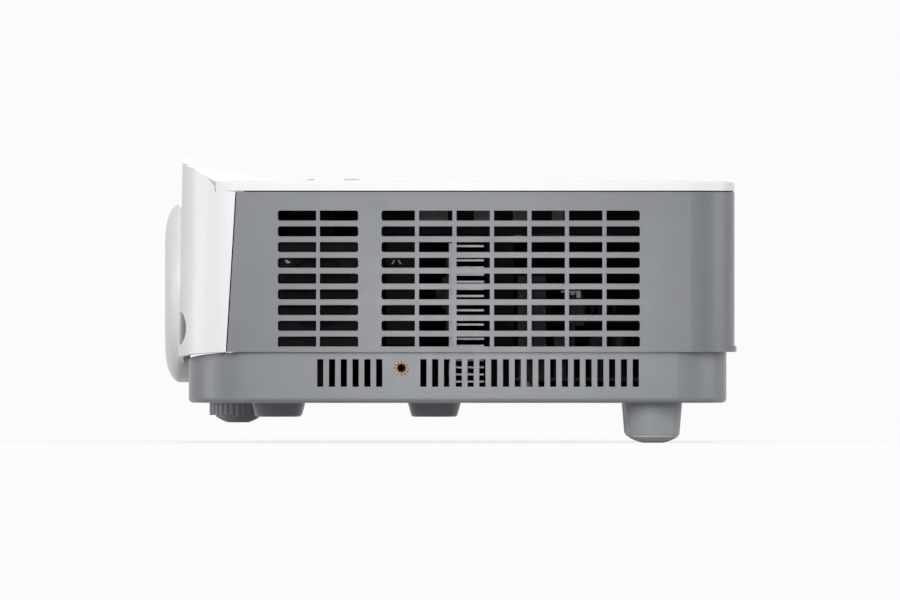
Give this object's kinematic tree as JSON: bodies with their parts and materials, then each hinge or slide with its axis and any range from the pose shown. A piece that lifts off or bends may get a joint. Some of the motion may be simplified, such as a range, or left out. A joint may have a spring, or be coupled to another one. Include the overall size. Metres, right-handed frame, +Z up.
{
  "type": "projector with built in dvd player",
  "caption": "Table-top projector with a disc tray in its side: arched white front round the lens, slotted grey housing, screw-down foot, moving lens, tray, gears and fans.",
  "frame": {"origin": "on the table, under the middle of the case", "axes": "-X where the lens looks, +X the sockets, +Y where the disc tray slides out, +Z up"},
  "size_m": [0.287, 0.23, 0.143],
  "materials": {
    "side_plastic": "fine moulded texture",
    "base_plastic": "fine moulded texture",
    "white_plastic": "smooth moulded, soft gloss",
    "window_plastic": "dark tinted, polished",
    "black_plastic": "moulded, fine texture",
    "grey_plastic": "moulded, fine texture",
    "button_plastic": "moulded, soft gloss",
    "pad_rubber": "moulded soft rubber",
    "belt_rubber": "moulded soft rubber",
    "insert_brass": "turned",
    "screw_steel": "zinc plated",
    "socket_metal": "nickel plated",
    "sink_aluminium": "mill finish",
    "motor_steel": "drawn",
    "lens_glass": "coated, polished",
    "screen_glass": "polished",
    "board_laminate": "solder mask",
    "panel_plastic": "moulded, fine texture",
    "gear_plastic": "moulded acetal"
  },
  "bodies": {
    "case": {"ac_inlet": "black_plastic", "ac_inlet_pins": "socket_metal", "av_sockets": "socket_metal", "base_housing": "base_plastic", "case_screws": "screw_steel", "clamp_bridge": "screw_steel", "condenser_lens": "lens_glass", "digital_sockets": "socket_metal", "drive_belt": "belt_rubber", "engine_housing": "black_plastic", "exhaust_fan_frame": "black_plastic", "front_fascia": "white_plastic", "front_foot_nut": "insert_brass", "headphone_jack": "black_plastic", "heat_sink": "sink_aluminium", "intake_fan_frame": "black_plastic", "ir_window": "window_plastic", "jack_bushing": "socket_metal", "keypad_board": "board_laminate", "led_module": "motor_steel", "lens_bezel": "white_plastic", "lens_mount": "black_plastic", "loader_chassis": "black_plastic", "loading_motor": "motor_steel", "main_board": "board_laminate", "mount_inserts": "insert_brass", "power_supply_board": "board_laminate", "rear_feet": "base_plastic", "rear_foot_pads": "pad_rubber", "socket_panel": "panel_plastic", "speakers": "black_plastic", "top_cover": "white_plastic", "upper_housing": "side_plastic", "vga_socket": "socket_metal"},
    "foot_pad": {"front_foot_pad": "pad_rubber"},
    "foot_screw": {"front_foot_screw": "grey_plastic"},
    "focus_ring": {"focus_ring": "black_plastic"},
    "lens": {"lens_barrel": "black_plastic", "lens_elements": "lens_glass"},
    "keystone": {"lcd_carrier": "grey_plastic", "lcd_panel": "screen_glass"},
    "exhaust_rotor": {"exhaust_fan_rotor": "black_plastic"},
    "intake_rotor": {"intake_fan_rotor": "black_plastic"},
    "rocker": {"power_rocker": "black_plastic"},
    "power_key": {"power_button": "button_plastic"},
    "source_key": {"source_button": "button_plastic"},
    "menu_key": {"menu_button": "button_plastic"},
    "play_key": {"play_button": "button_plastic"},
    "eject_key": {"eject_button": "button_plastic"},
    "tray": {"disc_tray": "black_plastic", "tray_bezel": "side_plastic"},
    "pinion": {"tray_pinion": "gear_plastic"},
    "step_gear": {"pulley_gear": "gear_plastic"},
    "motor_pulley": {"motor_pulley": "gear_plastic"},
    "traverse": {"traverse_frame": "screw_steel", "spindle_motor": "motor_steel", "sled_rods": "screw_steel"},
    "turntable": {"turntable": "black_plastic"},
    "pickup": {"pickup_sled": "black_plastic"},
    "clamper": {"disc_clamper": "black_plastic"}
  },
  "joints": [
    {"name": "foot_slide", "type": "slide", "parent": "case", "child": "foot_pad", "axis": [0, 0, -1], "range_m": [0, 0.018]},
    {"name": "foot_turn", "type": "hinge", "parent": "foot_pad", "child": "foot_screw", "pos_m": [-0.1068, 0, 0.016], "axis": [0, 0, -1], "range_deg": [0, 4320]},
    {"name": "focus_turn", "type": "hinge", "parent": "case", "child": "focus_ring", "pos_m": [-0.133, 0, 0.075], "axis": [-1, 0, 0], "range_deg": [-90, 90]},
    {"name": "focus_travel", "type": "slide", "parent": "case", "child": "lens", "axis": [-1, 0, 0], "range_m": [-0.003, 0.003]},
    {"name": "keystone_tilt", "type": "hinge", "parent": "case", "child": "keystone", "pos_m": [-0.07, 0, 0.075], "axis": [0, 1, 0], "range_deg": [-6, 6]},
    {"name": "exhaust_spin", "type": "hinge", "parent": "case", "child": "exhaust_rotor", "pos_m": [0.024, -0.035, 0.075], "axis": [1, 0, 0], "continuous": true},
    {"name": "intake_spin", "type": "hinge", "parent": "case", "child": "intake_rotor", "pos_m": [-0.026, -0.07, 0.075], "axis": [1, 0, 0], "continuous": true},
    {"name": "rocker_tilt", "type": "hinge", "parent": "case", "child": "rocker", "pos_m": [0.1338, -0.032, 0.0735], "axis": [0, 1, 0], "range_deg": [-16, 0]},
    {"name": "power_press", "type": "slide", "parent": "case", "child": "power_key", "axis": [0, 0, -1], "range_m": [0, 0.0006], "stiffness_N_per_m": 300},
    {"name": "source_press", "type": "slide", "parent": "case", "child": "source_key", "axis": [0, 0, -1], "range_m": [0, 0.0006], "stiffness_N_per_m": 300},
    {"name": "menu_press", "type": "slide", "parent": "case", "child": "menu_key", "axis": [0, 0, -1], "range_m": [0, 0.0006], "stiffness_N_per_m": 300},
    {"name": "play_press", "type": "slide", "parent": "case", "child": "play_key", "axis": [0, 0, -1], "range_m": [0, 0.0006], "stiffness_N_per_m": 300},
    {"name": "eject_press", "type": "slide", "parent": "case", "child": "eject_key", "axis": [0, 0, -1], "range_m": [0, 0.0006], "stiffness_N_per_m": 300},
    {"name": "tray_slide", "type": "slide", "parent": "case", "child": "tray", "axis": [0, 1, 0], "range_m": [0, 0.134]},
    {"name": "pinion_spin", "type": "hinge", "parent": "case", "child": "pinion", "pos_m": [0.074, 0.09, 0.1075], "axis": [0, 0, 1], "range_deg": [-5, 708]},
    {"name": "gear_spin", "type": "hinge", "parent": "case", "child": "step_gear", "pos_m": [0.05803, 0.09581, 0.1075], "axis": [0, 0, 1], "range_deg": [-1290, 5]},
    {"name": "motor_spin", "type": "hinge", "parent": "case", "child": "motor_pulley", "pos_m": [0.02403, 0.09581, 0.1063], "axis": [0, 0, 1], "range_deg": [-2996, 5]},
    {"name": "traverse_drop", "type": "hinge", "parent": "case", "child": "traverse", "pos_m": [0.034, -0.0435, 0.1071], "axis": [-1, 0, 0], "range_deg": [0, 2.3]},
    {"name": "disc_spin", "type": "hinge", "parent": "traverse", "child": "turntable", "pos_m": [0.034, 0.0425, 0.1105], "axis": [0, 0, 1], "continuous": true},
    {"name": "sled_slide", "type": "slide", "parent": "traverse", "child": "pickup", "axis": [0, -1, 0], "range_m": [0, 0.034]},
    {"name": "clamper_spin", "type": "hinge", "parent": "case", "child": "clamper", "pos_m": [0.034, 0.0425, 0.12], "axis": [0, 0, 1], "continuous": true}
  ],
  "couplings": [
    {"joint": "foot_turn", "follows": "foot_slide", "rad_per_m": 4188.8},
    {"joint": "focus_travel", "follows": "focus_turn", "m_per_rad": 0.0019099},
    {"joint": "pinion_spin", "follows": "tray_slide", "rad_per_m": 90.909},
    {"joint": "gear_spin", "follows": "tray_slide", "rad_per_m": -166.67},
    {"joint": "motor_spin", "follows": "tray_slide", "rad_per_m": -388.89}
  ]
}
